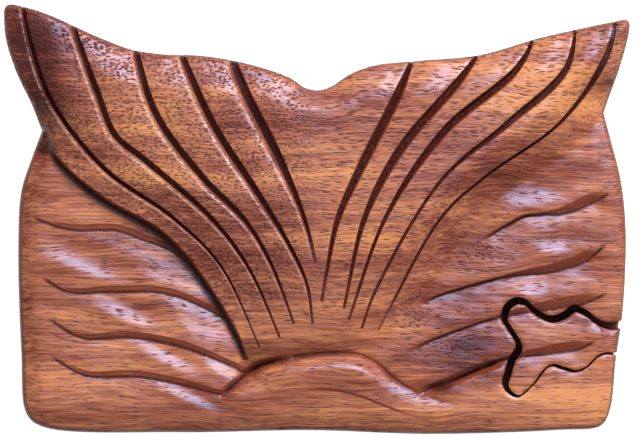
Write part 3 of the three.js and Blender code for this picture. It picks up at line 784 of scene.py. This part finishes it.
# %% Numbers for the material
# Golden and dark places, partly the plank's own tone and partly painted shade, as beside the tail's
# right edge; and places in the sea where the pores are cut across
TINTS = [(55, 31, 17, 9, 1), (-68, 38, 8, 18, -1.2), (66, -44, 18, 7, 1), (32, -14, 10, 14, -0.3),
         (-40, 22, 16, 12, 0.7), (8, 5, 14, 22, 0.4), (36, -32, 9, 9, -0.9), (0, -29, 16, 5, 0.3),
         (-46, -36, 20, 14, 0.3), (30, -8, 5, 5, 0.3), (60, -14, 10, 12, -0.3), (58, -29, 10, 6, 0.2),
         (48, 8, 10, 5, -0.8)]
DOTTED = [(31, -31, 8, 4.5), (39, -8, 8, 5), (24, -24, 6, 5)]


def colour_numbers(obj):
    """Sets the painted shade and stain from the relief's deep places, painted shade at about half strength
    on the sawn walls of the kerf, the tint from a sum of bell-shaped patches, the painted lip highlight,
    and how far the pores are cut across: fully on the left fluke, by a third on the right one, and
    hardly on the root and in the sea but for three patches."""
    place = np.empty(len(obj.data.vertices) * 3, np.float32)
    obj.data.vertices.foreach_get("co", place)
    x, y, z = (place.reshape(-1, 3) / MM).T.astype(float)
    top, shade_and_stain, share, painted_lip_glint = carved_height(x, y)
    kerf = np.minimum(to_edge(NOTCH, x, y), to_edge(KEY_EDGE, x, y))
    on_top = z > top - 0.4
    # Painted shade on the kerf's sawn walls, under the top
    shade_and_stain = np.where(on_top, shade_and_stain, np.where((kerf < 0.3) & (z > LID_UNDERSIDE + 0.5), 0.45, 0))
    tint = patches(x, y, TINTS) * np.where(on_top, 1, 0.4)
    pored = share * ease((y + 30) / 14) * (1 - 0.62 * ease((x + 14) / 26))
    pored = np.maximum.reduce([pored] + [0.95 * patch(x, y, *oval) for oval in DOTTED])
    numbers = {"shade_and_stain": shade_and_stain, "tint": tint, "tail": pored * on_top, "painted_lip_glint": painted_lip_glint * on_top}
    for name, values in numbers.items():
        layer = obj.data.attributes.new(name, "FLOAT", "POINT")
        layer.data.foreach_set("value", values.astype(np.float32))


for piece in (lid, key):
    colour_numbers(piece)
    finish_shading(piece)

# %% [markdown]
# ## The ring and the board
# Under the carved lid lie the hollow middle layer and the bottom board. The whole box was sawn from
# one plank, so all layers share the outline, and their edges are broken by sandpaper. A Bevel
# modifier could round them, but it works unevenly on an outline of so many short edges. So a
# quarter circle is carried along each edge instead, round the outline and round the cavity.

# %% Layers of the plank
def layer_piece(name, low, high, hole=None, soft=0.5):
    """A slab of the plank: the outline, and the hole if there is one, with rounded edges. Each edge
    is a quarter circle: inset r(1 - cos a), height r sin a."""
    loops = [OUTLINE[::-1]] + ([hole] if hole is not None else [])
    profile = [(soft * (1 - math.sin(a)), high - soft * (1 - math.cos(a))) for a in QUARTER_TURN]
    profile += [(soft * (1 - math.cos(a)), low + soft * (1 - math.sin(a))) for a in QUARTER_TURN]
    verts, faces, tops, feet, count = [], [], [], [], 0
    for loop in loops:
        verts += [at_height(shifted(loop, inset), z) for inset, z in profile]
        rings = count + np.arange(len(profile) * len(loop)).reshape(len(profile), -1)
        faces += bands(rings)
        tops.append(rings[0])
        feet.append(rings[-1])
        count += rings.size
    _, tris = triangulate(np.vstack(loops), loops)
    faces += np.concatenate(tops)[tris].tolist() + np.concatenate(feet)[tris[:, ::-1]].tolist()
    return put_mesh(name, np.vstack(verts), faces)


def rounded_rectangle(low, high, radius, steps=10):
    """Four quarter circles joined by straight sides, run clockwise as a hole's edge."""
    a = np.linspace(0, np.pi / 2, steps)
    (left, front), (right, rear) = low + radius, high - radius
    corners = [(right, rear, 0), (left, rear, np.pi / 2), (left, front, np.pi), (right, front, 1.5 * np.pi)]
    loop = np.vstack([np.column_stack([cx + radius * np.cos(a + s), cy + radius * np.sin(a + s)])
                      for cx, cy, s in corners])
    return loop[::-1]


CAVITY_CORNER = 8.0
felt_low, felt_high = node_box("wall_felt")
CAVITY = rounded_rectangle(felt_low[:2], felt_high[:2], CAVITY_CORNER)
board = layer_piece("bottom_layer", 0.0, BOARD_TOP)
ring = layer_piece("hollow_layer", BOARD_TOP, RING_TOP, CAVITY)
tell("board", board)

# %% [markdown]
# ## Pin holes
# Each rail is glued to the ring and held by three bamboo pins, so the ring has a blind hole under
# each pin, a little deeper than the pin goes. The ring's top could be meshed round the holes, but
# six small Boolean cuts are simpler, and the pins and rails hide their edges.

# %% Holes under the rails
def circle(radius, steps):
    """Places (r cos a, r sin a) at even angles."""
    a = np.arange(steps) * 2 * np.pi / steps
    return radius * np.column_stack([np.cos(a), np.sin(a)])


PINS = [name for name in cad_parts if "_pin_" in name]
HOLE_RADIUS = 0.95
for low, high in map(node_box, PINS):
    section = (low[:2] + high[:2]) / 2 + circle(HOLE_RADIUS, 24)
    ends = [at_height(section, z) for z in (low[2] - 0.2, RING_TOP + 2)]
    take_out(ring, prism("hole_cutter", *ends))
finish_shading(ring)
tell(f"ring with {len(PINS)} pin holes", ring)

# %% [markdown]
# ## Felt lining
# The cavity is lined with thin brown felt: one piece on the floor and a strip round the walls, both
# glued on. Planes with a Solidify modifier would do, but their edges would be sharp and their faces
# dead flat, and cut felt is round at the edge and slightly lumpy. So each sheet is a closed slab
# with small lumps: the floor is a grid with a rounded edge, and the strip is its section carried
# round the walls.

# %% The two felts
def lumps(x, y, z):
    """Unevenness of pressed felt in millimetres: three crossing sine waves of unlike lengths."""
    waves = np.sin(2.1 * x + 0.7 * y) + np.sin(1.3 * y - 1.9 * z + 1.0) + np.sin(2.7 * x - 1.1 * z + 2.0)
    return 0.05 * waves


def even_loop(low, high, corner, step):
    """Rounded rectangle, counter-clockwise, walked again at even steps."""
    loop = rounded_rectangle(low[:2], high[:2], corner, 16)[::-1]
    return even_steps(np.vstack([loop, loop[:1]]), lambda length: int(length / step))[:-1]


def floor_sheet(name, low, high, corner):
    """Slab inside a rounded rectangle: a raised top of fine triangles, a quarter-round edge, a flat
    foot."""
    loop = even_loop(low, high, corner, 1.2)
    gx, gy = np.meshgrid(np.arange(low[0], high[0], 1.0), np.arange(low[1], high[1], 1.0))
    grid = np.column_stack([gx.ravel(), gy.ravel()])
    clear = inside(loop, *grid.T) & (to_edge(loop, *grid.T) > 0.5)
    place, faces = triangulate(np.vstack([loop, shifted(loop, 0.35), grid[clear]]), [loop])
    edge = to_edge(loop, *place.T)
    soft = 0.45 * (1 - np.sqrt(np.clip(1 - (1 - np.clip(edge / 0.5, 0, 1)) ** 2, 0, 1)))
    top = high[2] - 0.12 - soft + lumps(*place.T, 0)
    return solid_mesh(name, place, top, faces, loop, low[2], 0.1)


def wall_strip(name, low, high, corner, thick):
    """Strip round the walls: a section of a flat back, a quarter-round top and a lumpy face, carried
    along the rounded rectangle."""
    loop = even_loop(low, high, corner, 1.0)
    half = thick / 2
    section = [(0.02, z) for z in np.linspace(low[2], high[2] - half, 5)[:-1]]
    section += [(half - half * math.cos(a), high[2] - half + half * math.sin(a))
                for a in np.linspace(0, np.pi, 7)]
    section += [(thick, z) for z in np.linspace(high[2] - half, low[2], 20)[1:]]
    rows = []
    for inset, z in section:
        bulge = 0.8 * lumps(*shifted(loop, inset).T, z) - 0.1 if inset > half else 0.0
        rows.append(at_height(shifted(loop, inset + bulge), z))
    rings = np.arange(len(rows) * len(loop)).reshape(len(rows), -1)
    return put_mesh(name, np.vstack(rows), bands(np.vstack([rings, rings[:1]])), 60)


FELT_THICKNESS = 1.0
FLOOR_CORNER = CAVITY_CORNER - FELT_THICKNESS
EASED = 0.15
floor_low, floor_high = node_box("floor_felt")
floor_felt = floor_sheet("felt_floor", floor_low + (EASED, EASED, 0), floor_high - (EASED, EASED, 0),
                         FLOOR_CORNER - EASED)
wall_felt = wall_strip("felt_walls", felt_low, felt_high, CAVITY_CORNER, FELT_THICKNESS)

# %% [markdown]
# ## Rails and pins
# The rails are planed wood and the pins split bamboo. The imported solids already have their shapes,
# so they are kept. The real ones have slightly broken edges, so Weld joins each solid's loose
# triangles, and a narrow Bevel rounds its edges.

# %% Soft edges on the rails and pins
for name in (*RAILS, *PINS):
    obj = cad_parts[name]
    weld = obj.modifiers.new("weld", "WELD")
    weld.merge_threshold = 1e-5
    bevel = obj.modifiers.new("bevel", "BEVEL")
    bevel.width = (0.25 if name in RAILS else 0.12) * MM
    bevel.segments = 2
    bevel.limit_method = "ANGLE"
    bevel.angle_limit = math.radians(40)

# %% [markdown]
# ## Wood
# The plank is raintree: a red-brown heartwood with darker and golden streaks along the grain and
# coarse open pores, which show as short dark dashes. Pictures of wood could be laid on it, but they
# don't go on into the depth of a cut. So the wood is a solid pattern of noise in Object
# coordinates, squeezed along x, which is the grain's direction: the same streaks run through lid,
# ring and board, and every carved slope cuts across them.

# %% Node helpers
def colour(r, g, b):
    """A colour written as it looks on screen, 0 to 255, as the linear value that shaders take: the
    standard curve ((c + 0.055) / 1.055) to the power of 2.4."""
    shares = (r / 255, g / 255, b / 255)
    return tuple(c / 12.92 if c <= 0.04045 else ((c + 0.055) / 1.055) ** 2.4 for c in shares) + (1,)


def new_material(name):
    """A new material, its node tree and its shader."""
    material = bpy.data.materials.new(name)
    material.use_nodes = True
    return material, material.node_tree, material.node_tree.nodes["Principled BSDF"]


def set_sockets(node, **values):
    """Constants on a node's own sockets, named with _ for each space."""
    for name, value in values.items():
        node.inputs[name.replace("_", " ")].default_value = value


def add_node(tree, kind, inputs=(), **settings):
    """A node with its settings. Inputs are (socket, value) pairs, a value or another node's output."""
    made = tree.nodes.new("ShaderNode" + kind)
    for key, value in settings.items():
        setattr(made, key, value)
    for socket, value in inputs:
        if isinstance(value, bpy.types.NodeSocket):
            tree.links.new(value, made.inputs[socket])
        else:
            made.inputs[socket].default_value = value
    return made


def maths(tree, operation, a, b=0.0, c=0.0, clamp=False):
    """One Math node over up to three values."""
    inputs = [(0, a), (1, b), (2, c)]
    return add_node(tree, "Math", inputs, operation=operation, use_clamp=clamp).outputs[0]


def times(tree, a, b, plus=0.0):
    """a times b, plus a third value."""
    return maths(tree, "MULTIPLY_ADD", a, b, plus)


def ramp(tree, value, stops):
    """Colour ramp from stops: a place and a colour as it looks on screen."""
    made = add_node(tree, "ValToRGB", [(0, value)])
    while len(made.color_ramp.elements) < len(stops):
        made.color_ramp.elements.new(0.5)
    for element, (at, tone) in zip(made.color_ramp.elements, stops):
        element.position, element.color = at, colour(*tone)
    return made.outputs[0]


def between(tree, value, low, high):
    """0 below low, 1 above high and a smooth step between."""
    inputs = [(0, value), (1, low), (2, high)]
    return add_node(tree, "MapRange", inputs, interpolation_type="SMOOTHSTEP").outputs[0]


def blended(tree, share, first, second):
    """The first colour, and as far as the share goes the second."""
    return add_node(tree, "Mix", [(0, share), (6, first), (7, second)], data_type="RGBA").outputs[2]


def squeezed(tree, place, scale):
    """A place with each axis multiplied by its own number."""
    return add_node(tree, "VectorMath", [(0, place), (1, scale)], operation="MULTIPLY").outputs[0]


def noise(tree, place, scale, detail, rough=0.5, output="Fac"):
    """Noise over a place that is squeezed by its own scale along each axis."""
    made = add_node(tree, "TexNoise", [("Vector", squeezed(tree, place, scale))])
    set_sockets(made, Scale=1.0, Detail=detail, Roughness=rough)
    return made.outputs[output]


def bumped(tree, shader, height, strength, distance):
    """Tilts the shader's normal by a height, without moving the surface."""
    bump = add_node(tree, "Bump", [("Height", height), ("Strength", strength), ("Distance", distance)])
    tree.links.new(bump.outputs[0], shader.inputs["Normal"])


# %% The raintree wood
def wood(name, tones, roughness, gloss, polish_marks):
    """Streaks are noise stretched along x, in three sizes, flatter in z than in y, so that a carved
    slope cuts across more of them, as it cuts the real growth layers. Pores are cells of a stretched
    Voronoi pattern: long thin dashes on flat wood and short dots on the tail, each where the distance
    to a cell's middle is small. Painted shade with stain, the tint, the tail's share and the painted
    lip highlight come from the mesh."""
    material, tree, shader = new_material(name)
    place = add_node(tree, "TexCoord").outputs["Object"]
    drift = squeezed(tree, noise(tree, place, (45, 100, 100), 1.0, output="Color"), (0, 0.0045, 0.0045))
    bent = add_node(tree, "VectorMath", [(0, place), (1, drift)]).outputs[0]

    def number(kind):
        """A number that the mesh carries at each point."""
        return add_node(tree, "Attribute", attribute_name=kind).outputs["Fac"]

    def pores(scale, wide, often):
        """1 in a pore: near a cell's middle, in those cells whose random number is over a share."""
        cells = add_node(tree, "TexVoronoi", [("Vector", squeezed(tree, bent, scale)), ("Scale", 1.0)])
        chance = add_node(tree, "SeparateColor", [(0, cells.outputs["Color"])]).outputs[0]
        return times(tree, between(tree, cells.outputs["Distance"], wide, wide * 0.45),
                     between(tree, chance, often, often + 0.15))

    tint, tail, shade_and_stain, painted_lip_glint = map(number, ("tint", "tail", "shade_and_stain", "painted_lip_glint"))
    broad = noise(tree, bent, (18, 190, 240), 3.0)
    narrow = noise(tree, bent, (36, 1800, 900), 3.0)
    fibre = noise(tree, bent, (150, 3000, 2000), 2.0)
    mixed = times(tree, broad, 0.4, times(tree, narrow, 0.32, times(tree, fibre, 0.28)))
    body = ramp(tree, times(tree, tint, 0.16, mixed), tones)

    dots = times(tree, pores((920, 1850, 1850), 0.58, 0.0), between(tree, tail, 0.5, 0.85))
    middling = times(tree, between(tree, tail, 0.1, 0.35), between(tree, tail, 0.9, 0.5))
    slits = times(tree, pores((330, 2100, 2100), 0.5, 0.0), middling)
    dashes = times(tree, pores((260, 2600, 2600), 0.43, 0.52), between(tree, tail, 0.4, 0.1))
    dash = maths(tree, "MAXIMUM", maths(tree, "MAXIMUM", dots, slits), dashes)
    body = blended(tree, times(tree, dash, 0.68), body, colour(64, 26, 14))

    # Painted highlight on the furrows' lips: a pale pink, broken up by noise
    painted_lip_glint = times(tree, painted_lip_glint, between(tree, noise(tree, place, (700, 900, 900), 2.0), 0.3, 0.62))
    body = blended(tree, times(tree, painted_lip_glint, 0.55), body, colour(232, 190, 168))
    # Painted shade with varnish stain: red-brown at first, then the dark browns of the deepest shade
    body = blended(tree, times(tree, between(tree, shade_and_stain, 0.0, 0.5), 0.85), body, colour(132, 60, 38))
    deep_shade_browns = ramp(tree, noise(tree, place, (1300, 1300, 1300), 3.0),
                  [(0.36, (50, 19, 13)), (0.66, (92, 40, 27))])
    body = blended(tree, between(tree, shade_and_stain, 0.4, 0.95), body, deep_shade_browns)
    tree.links.new(body, shader.inputs["Base Color"])

    cloud = noise(tree, place, (60, 140, 140), 3.0)
    smooth = times(tree, cloud, 0.16, roughness - 0.08)
    tree.links.new(maths(tree, "MULTIPLY_ADD", dash, 0.8, smooth, clamp=True), shader.inputs["Roughness"])
    set_sockets(shader, Specular_IOR_Level=gloss)
    brush = noise(tree, place, (500, 900, 900), 3.0)
    relief = times(tree, dash, -0.65, times(tree, brush, polish_marks, times(tree, narrow, 0.6)))
    bumped(tree, shader, times(tree, relief, between(tree, shade_and_stain, 1.8, 0.2)), 0.6, 0.00012)
    return material


CARVED = [(0.32, (80, 34, 24)), (0.43, (130, 66, 48)), (0.52, (168, 101, 77)), (0.66, (222, 148, 96))]
PLAIN = [(0.3, (100, 48, 32)), (0.43, (150, 84, 54)), (0.53, (182, 112, 74)), (0.66, (214, 150, 96))]
DARK = [(0.3, (66, 34, 22)), (0.43, (98, 54, 36)), (0.53, (122, 74, 50)), (0.66, (148, 96, 66))]
BAMBOO = [(0.3, (188, 152, 100)), (0.43, (206, 174, 122)), (0.53, (218, 188, 138)), (0.66, (232, 206, 160))]
carved_wood = wood("carved_raintree", CARVED, 0.28, 0.35, 0.45)
ring_wood = wood("sawn_raintree", PLAIN, 0.36, 0.35, 0.3)
board_wood = wood("board_raintree", PLAIN, 0.5, 0.35, 0.3)
rail_wood = wood("waxed_rail", DARK, 0.45, 0.5, 0.2)
pin_wood = wood("split_bamboo", BAMBOO, 0.5, 0.5, 0.2)

# %% [markdown]
# ## Felt
# The lining is pressed brown wool, quite matt. Its fibres could be grown as hair, but they are
# finer than anything that the pictures show, and the export takes meshes alone. So fine noise gives
# the fuzz in colour and bump, and sheen gives the light on the fibres that stand up.

# %% Felt
def felt(name):
    """Matt brown fuzz: fine noise in colour and bump, with sheen from the fibres that stand up."""
    material, tree, shader = new_material(name)
    place = add_node(tree, "TexCoord").outputs["Object"]
    fuzz = noise(tree, place, (13000, 13000, 13000), 4.0, 0.7)
    shade = times(tree, fuzz, 0.6, times(tree, noise(tree, place, (650, 650, 650), 2.0), 0.4))
    browns = [(0.3, (58, 32, 20)), (0.5, (88, 52, 34)), (0.7, (120, 78, 54))]
    tree.links.new(ramp(tree, shade, browns), shader.inputs["Base Color"])
    set_sockets(shader, Roughness=0.95, Sheen_Weight=0.15, Sheen_Roughness=0.5)
    bumped(tree, shader, fuzz, 0.8, 0.0003)
    return material


felt_brown = felt("brown_felt")

# %% [markdown]
# ## Finishes and motion
# Each piece now gets its material and the body that it moves with, and the imported node that it
# stands for is hidden. The motion could be written here too, but the imported model already has it,
# so a piece only says what it rides on.

# %% Finishes and bodies
def put_on(obj, material):
    """Makes a material the only one of an object."""
    obj.data.materials.clear()
    obj.data.materials.append(material)


FINISHES = [
    (lid, carved_wood, "lid", "lid", "carved_wood"),
    (key, carved_wood, "key", "puzzle_key", "carved_wood"),
    (ring, ring_wood, "base", "body_ring", "ring_wood"),
    (board, board_wood, "base", "bottom_board", "board_wood"),
    (floor_felt, felt_brown, "base", "floor_felt", "lining_felt"),
    (wall_felt, felt_brown, "base", "wall_felt", "lining_felt"),
]
for obj, material, body, node, slot in FINISHES:
    put_on(obj, material)
    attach(obj, body)
    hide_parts(node)
for name in (*RAILS, *PINS):
    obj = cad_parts[name]
    put_on(obj, rail_wood if name in RAILS else pin_wood)

# %% [markdown]
# ## Floor, light and camera
# The photograph is taken from straight above on white paper, in soft daylight from the top right. A
# picture of a sky could light the scene, but two lamps are easier to set against the photograph's
# gloss and shadow: a warm-white one is the window, and a blue one, seen only in gloss, is the sky.
# The paper has a little glow that only the camera and reflections see, which lifts it to white and
# leaves the shadow in it. A long lens keeps the box's sides out of sight.

# %% White paper
def seen_ray(tree):
    """1 for a ray from the camera, from a gloss or through glass, 0 for the light that a surface gives
    to another."""
    ray = add_node(tree, "LightPath").outputs
    seen = maths(tree, "MAXIMUM", ray["Is Camera Ray"], ray["Is Glossy Ray"])
    return maths(tree, "MAXIMUM", seen, ray["Is Transmission Ray"])


WHITE = (1, 1, 1, 1)


def paper_material():
    """Grey-white paper whose glow only seen rays meet."""
    material, tree, shader = new_material("white_paper")
    set_sockets(shader, Base_Color=(0.6, 0.6, 0.6, 1), Roughness=0.9, Emission_Color=WHITE)
    tree.links.new(times(tree, seen_ray(tree), 0.95), shader.inputs["Emission Strength"])
    return material


def paper_sweep(name, floor=4.5, bend=0.8, wall=0.9, steps=72):
    """A round sheet of paper that turns up into a wall: a flat disc, a quarter circle of the bend's
    radius, r = floor + bend sin a and z = bend (1 - cos a), and an upright wall, turned about z."""
    a = np.linspace(0, np.pi / 2, 9)
    section = np.vstack([np.column_stack([floor + bend * np.sin(a), bend * (1 - np.cos(a))]),
                         [(floor + bend, bend + wall)]]) / MM
    places = np.vstack([at_height(circle(r, steps), z) for r, z in section])
    rings = np.arange(len(places)).reshape(-1, steps)
    return put_mesh(name, places, [rings[0].tolist()] + bands(rings))


paper = paper_sweep("paper_floor")
paper.data.materials.append(paper_material())
paper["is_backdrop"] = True


# %% Daylight
def soft_lamp(name, azimuth, elevation, distance, size, power, tone):
    """Square area lamp on a sphere round the box: (cos e cos a, cos e sin a, sin e) times the distance."""
    data = bpy.data.lights.new(name, "AREA")
    data.shape, data.size, data.energy, data.color = "SQUARE", size, power, tone
    lamp = bpy.data.objects.new(name, data)
    a, e = math.radians(azimuth), math.radians(elevation)
    lamp.location = distance * Vector((math.cos(e) * math.cos(a), math.cos(e) * math.sin(a), math.sin(e)))
    lamp.rotation_euler = (-lamp.location).to_track_quat("-Z", "Y").to_euler()
    bpy.context.scene.collection.objects.link(lamp)
    return lamp


window = soft_lamp("window", 62, 46, 1.2, 0.5, 19, (1.0, 0.98, 0.97))
window.visible_glossy = window.visible_camera = False
sky_glow = soft_lamp("sky", 66, 58, 1.2, 0.6, 30, (0.4, 0.6, 1.0))
sky_glow.visible_diffuse = sky_glow.visible_camera = False
world = bpy.data.worlds.new("studio")
world.use_nodes = True
bpy.context.scene.world = world
set_sockets(world.node_tree.nodes["Background"], Color=WHITE, Strength=0.25)

# %% Camera
camera_data = bpy.data.cameras.new("camera")
camera_data.sensor_width, camera_data.lens = 36, 400
camera_data.clip_start, camera_data.clip_end = 0.05, 10
camera = bpy.data.objects.new("camera", camera_data)
camera.location = (0.00077, -0.00017, 1.75)
bpy.context.scene.collection.objects.link(camera)
bpy.context.scene.camera = camera
bpy.context.scene.view_settings.view_transform = "Standard"

# %% [markdown]
# ## Last measures
# The dressed box is measured once more. Sanding and carving only take wood away, so the dressed box
# is never the larger one.

# %% Sizes
low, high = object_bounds()
